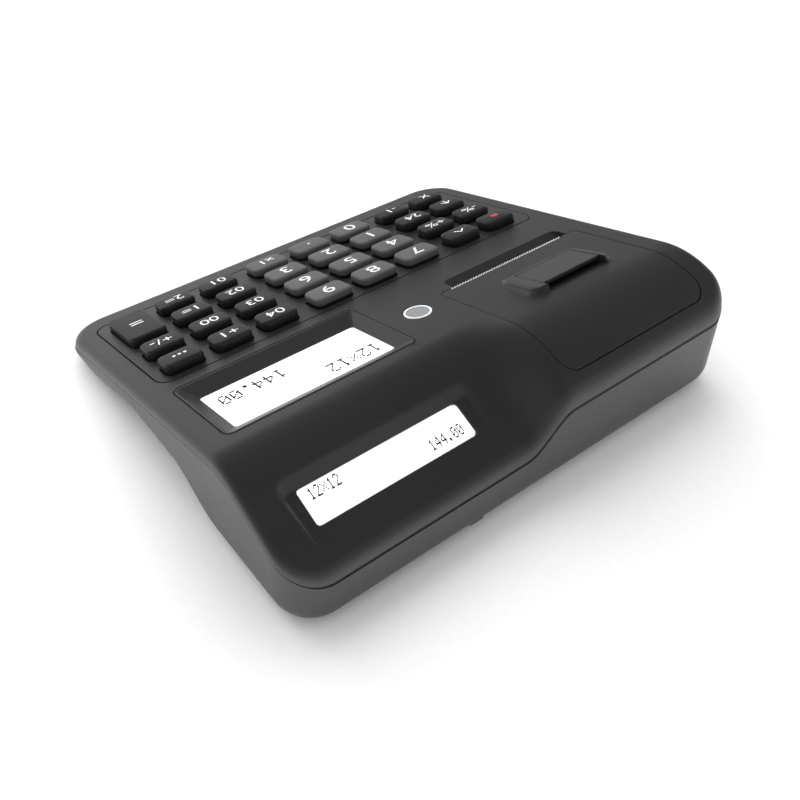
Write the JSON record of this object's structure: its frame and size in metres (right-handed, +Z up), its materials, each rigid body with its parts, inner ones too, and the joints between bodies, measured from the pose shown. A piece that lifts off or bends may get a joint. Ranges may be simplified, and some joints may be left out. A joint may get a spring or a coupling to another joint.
{
  "type": "ticket register",
  "caption": "Compact electronic cash register with a sloping key pad, an operator display, a rear customer display and a receipt printer under a hinged cover.",
  "frame": {"origin": "on the surface the register stands on, under the middle of its bounding box", "axes": "+X to the operator's right, +Y from the keys to the rear, +Z up"},
  "size_m": [0.204, 0.183, 0.0495],
  "materials": {
    "case_plastic": "finely grained moulding",
    "key_dark": "satin moulding",
    "key_grey": "satin moulding",
    "black_plastic": "plain moulding",
    "white_plastic": "natural acetal",
    "display_panel": "white lit liquid crystal panel",
    "steel": "plain",
    "brass": "cut",
    "rubber": "matte",
    "circuit_board": "solder mask",
    "battery_wrap": "shrink film"
  },
  "bodies": {
    "case": {"upper_housing": "case_plastic", "lower_housing": "case_plastic", "keypad_bezel": "case_plastic", "key_mat": "rubber", "key_board": "circuit_board", "operator_bezel": "case_plastic", "operator_display": "display_panel", "customer_display": "display_panel", "printer_motor": "steel", "printer_frame": "black_plastic", "thermal_head": "steel", "paper_bucket": "black_plastic", "seal_cup": "steel", "seal_screw": "steel", "main_board": "circuit_board", "battery_pack": "battery_wrap", "power_socket": "black_plastic", "data_socket": "black_plastic", "foot_front_left": "rubber", "foot_front_right": "rubber", "foot_rear_left": "rubber", "foot_rear_right": "rubber"},
    "cover": {"printer_cover": "case_plastic", "tear_bar": "steel"},
    "lever": {"release_lever": "case_plastic"},
    "platen": {"platen_roller": "rubber", "platen_shaft": "steel", "platen_gear": "white_plastic"},
    "pinion": {"motor_pinion": "brass"},
    "key_red": {"key_red": "key_dark"},
    "key_minus_percent": {"key_minus_percent": "key_dark"},
    "key_shift": {"key_shift": "key_dark"},
    "key_clear": {"key_clear": "key_dark"},
    "key_feed": {"key_feed": "key_dark"},
    "key_plus_percent": {"key_plus_percent": "key_dark"},
    "key_clock": {"key_clock": "key_dark"},
    "key_void": {"key_void": "key_dark"},
    "key_7": {"key_7": "key_grey"},
    "key_4": {"key_4": "key_grey"},
    "key_1": {"key_1": "key_grey"},
    "key_0": {"key_0": "key_grey"},
    "key_8": {"key_8": "key_grey"},
    "key_5": {"key_5": "key_grey"},
    "key_2": {"key_2": "key_grey"},
    "key_dot": {"key_dot": "key_grey"},
    "key_9": {"key_9": "key_grey"},
    "key_6": {"key_6": "key_grey"},
    "key_3": {"key_3": "key_grey"},
    "key_quantity": {"key_quantity": "key_grey"},
    "key_dept_4": {"key_dept_4": "key_dark"},
    "key_dept_3": {"key_dept_3": "key_dark"},
    "key_dept_2": {"key_dept_2": "key_dark"},
    "key_dept_1": {"key_dept_1": "key_dark"},
    "key_add": {"key_add": "key_dark"},
    "key_lookup": {"key_lookup": "key_dark"},
    "key_pay_1": {"key_pay_1": "key_dark"},
    "key_pay_2": {"key_pay_2": "key_dark"},
    "key_mode": {"key_mode": "key_dark"},
    "key_subtotal": {"key_subtotal": "key_dark"},
    "key_total": {"key_total": "key_dark"}
  },
  "joints": [
    {"name": "key_red_press", "type": "slide", "parent": "case", "child": "key_red", "axis": [0, 0.2588, -0.9659], "range_m": [0, 0.0012], "stiffness_N_per_m": 400, "springref_m": -0.001},
    {"name": "key_minus_percent_press", "type": "slide", "parent": "case", "child": "key_minus_percent", "axis": [0, 0.2588, -0.9659], "range_m": [0, 0.0012], "stiffness_N_per_m": 400, "springref_m": -0.001},
    {"name": "key_shift_press", "type": "slide", "parent": "case", "child": "key_shift", "axis": [0, 0.2588, -0.9659], "range_m": [0, 0.0012], "stiffness_N_per_m": 400, "springref_m": -0.001},
    {"name": "key_clear_press", "type": "slide", "parent": "case", "child": "key_clear", "axis": [0, 0.2588, -0.9659], "range_m": [0, 0.0012], "stiffness_N_per_m": 400, "springref_m": -0.001},
    {"name": "key_feed_press", "type": "slide", "parent": "case", "child": "key_feed", "axis": [0, 0.2588, -0.9659], "range_m": [0, 0.0012], "stiffness_N_per_m": 400, "springref_m": -0.001},
    {"name": "key_plus_percent_press", "type": "slide", "parent": "case", "child": "key_plus_percent", "axis": [0, 0.2588, -0.9659], "range_m": [0, 0.0012], "stiffness_N_per_m": 400, "springref_m": -0.001},
    {"name": "key_clock_press", "type": "slide", "parent": "case", "child": "key_clock", "axis": [0, 0.2588, -0.9659], "range_m": [0, 0.0012], "stiffness_N_per_m": 400, "springref_m": -0.001},
    {"name": "key_void_press", "type": "slide", "parent": "case", "child": "key_void", "axis": [0, 0.2588, -0.9659], "range_m": [0, 0.0012], "stiffness_N_per_m": 400, "springref_m": -0.001},
    {"name": "key_7_press", "type": "slide", "parent": "case", "child": "key_7", "axis": [0, 0.2588, -0.9659], "range_m": [0, 0.0012], "stiffness_N_per_m": 400, "springref_m": -0.001},
    {"name": "key_4_press", "type": "slide", "parent": "case", "child": "key_4", "axis": [0, 0.2588, -0.9659], "range_m": [0, 0.0012], "stiffness_N_per_m": 400, "springref_m": -0.001},
    {"name": "key_1_press", "type": "slide", "parent": "case", "child": "key_1", "axis": [0, 0.2588, -0.9659], "range_m": [0, 0.0012], "stiffness_N_per_m": 400, "springref_m": -0.001},
    {"name": "key_0_press", "type": "slide", "parent": "case", "child": "key_0", "axis": [0, 0.2588, -0.9659], "range_m": [0, 0.0012], "stiffness_N_per_m": 400, "springref_m": -0.001},
    {"name": "key_8_press", "type": "slide", "parent": "case", "child": "key_8", "axis": [0, 0.2588, -0.9659], "range_m": [0, 0.0012], "stiffness_N_per_m": 400, "springref_m": -0.001},
    {"name": "key_5_press", "type": "slide", "parent": "case", "child": "key_5", "axis": [0, 0.2588, -0.9659], "range_m": [0, 0.0012], "stiffness_N_per_m": 400, "springref_m": -0.001},
    {"name": "key_2_press", "type": "slide", "parent": "case", "child": "key_2", "axis": [0, 0.2588, -0.9659], "range_m": [0, 0.0012], "stiffness_N_per_m": 400, "springref_m": -0.001},
    {"name": "key_dot_press", "type": "slide", "parent": "case", "child": "key_dot", "axis": [0, 0.2588, -0.9659], "range_m": [0, 0.0012], "stiffness_N_per_m": 400, "springref_m": -0.001},
    {"name": "key_9_press", "type": "slide", "parent": "case", "child": "key_9", "axis": [0, 0.2588, -0.9659], "range_m": [0, 0.0012], "stiffness_N_per_m": 400, "springref_m": -0.001},
    {"name": "key_6_press", "type": "slide", "parent": "case", "child": "key_6", "axis": [0, 0.2588, -0.9659], "range_m": [0, 0.0012], "stiffness_N_per_m": 400, "springref_m": -0.001},
    {"name": "key_3_press", "type": "slide", "parent": "case", "child": "key_3", "axis": [0, 0.2588, -0.9659], "range_m": [0, 0.0012], "stiffness_N_per_m": 400, "springref_m": -0.001},
    {"name": "key_quantity_press", "type": "slide", "parent": "case", "child": "key_quantity", "axis": [0, 0.2588, -0.9659], "range_m": [0, 0.0012], "stiffness_N_per_m": 400, "springref_m": -0.001},
    {"name": "key_dept_4_press", "type": "slide", "parent": "case", "child": "key_dept_4", "axis": [0, 0.2588, -0.9659], "range_m": [0, 0.0012], "stiffness_N_per_m": 400, "springref_m": -0.001},
    {"name": "key_dept_3_press", "type": "slide", "parent": "case", "child": "key_dept_3", "axis": [0, 0.2588, -0.9659], "range_m": [0, 0.0012], "stiffness_N_per_m": 400, "springref_m": -0.001},
    {"name": "key_dept_2_press", "type": "slide", "parent": "case", "child": "key_dept_2", "axis": [0, 0.2588, -0.9659], "range_m": [0, 0.0012], "stiffness_N_per_m": 400, "springref_m": -0.001},
    {"name": "key_dept_1_press", "type": "slide", "parent": "case", "child": "key_dept_1", "axis": [0, 0.2588, -0.9659], "range_m": [0, 0.0012], "stiffness_N_per_m": 400, "springref_m": -0.001},
    {"name": "key_add_press", "type": "slide", "parent": "case", "child": "key_add", "axis": [0, 0.2588, -0.9659], "range_m": [0, 0.0012], "stiffness_N_per_m": 400, "springref_m": -0.001},
    {"name": "key_lookup_press", "type": "slide", "parent": "case", "child": "key_lookup", "axis": [0, 0.2588, -0.9659], "range_m": [0, 0.0012], "stiffness_N_per_m": 400, "springref_m": -0.001},
    {"name": "key_pay_1_press", "type": "slide", "parent": "case", "child": "key_pay_1", "axis": [0, 0.2588, -0.9659], "range_m": [0, 0.0012], "stiffness_N_per_m": 400, "springref_m": -0.001},
    {"name": "key_pay_2_press", "type": "slide", "parent": "case", "child": "key_pay_2", "axis": [0, 0.2588, -0.9659], "range_m": [0, 0.0012], "stiffness_N_per_m": 400, "springref_m": -0.001},
    {"name": "key_mode_press", "type": "slide", "parent": "case", "child": "key_mode", "axis": [0, 0.2588, -0.9659], "range_m": [0, 0.0012], "stiffness_N_per_m": 400, "springref_m": -0.001},
    {"name": "key_subtotal_press", "type": "slide", "parent": "case", "child": "key_subtotal", "axis": [0, 0.2588, -0.9659], "range_m": [0, 0.0012], "stiffness_N_per_m": 400, "springref_m": -0.001},
    {"name": "key_total_press", "type": "slide", "parent": "case", "child": "key_total", "axis": [0, 0.2588, -0.9659], "range_m": [0, 0.0012], "stiffness_N_per_m": 400, "springref_m": -0.001},
    {"name": "cover_hinge", "type": "hinge", "parent": "case", "child": "cover", "pos_m": [-0.0522, 0.074, 0.0435], "axis": [-1, 0, 0], "range_deg": [0, 70]},
    {"name": "lever_hinge", "type": "hinge", "parent": "cover", "child": "lever", "pos_m": [-0.056, 0.03136, 0.0414], "axis": [1, 0, 0], "range_deg": [0, 25], "stiffness_Nm_per_rad": 0.02, "springref_deg": -5.73},
    {"name": "platen_spin", "type": "hinge", "parent": "cover", "child": "platen", "pos_m": [-0.05075, 0.02299, 0.03132], "axis": [1, 0, 0], "continuous": true},
    {"name": "pinion_spin", "type": "hinge", "parent": "case", "child": "pinion", "pos_m": [-0.0155, 0.02477, 0.02387], "axis": [1, 0, 0], "continuous": true}
  ],
  "couplings": [
    {"joint": "pinion_spin", "follows": "platen_spin", "ratio": -1.5}
  ]
}
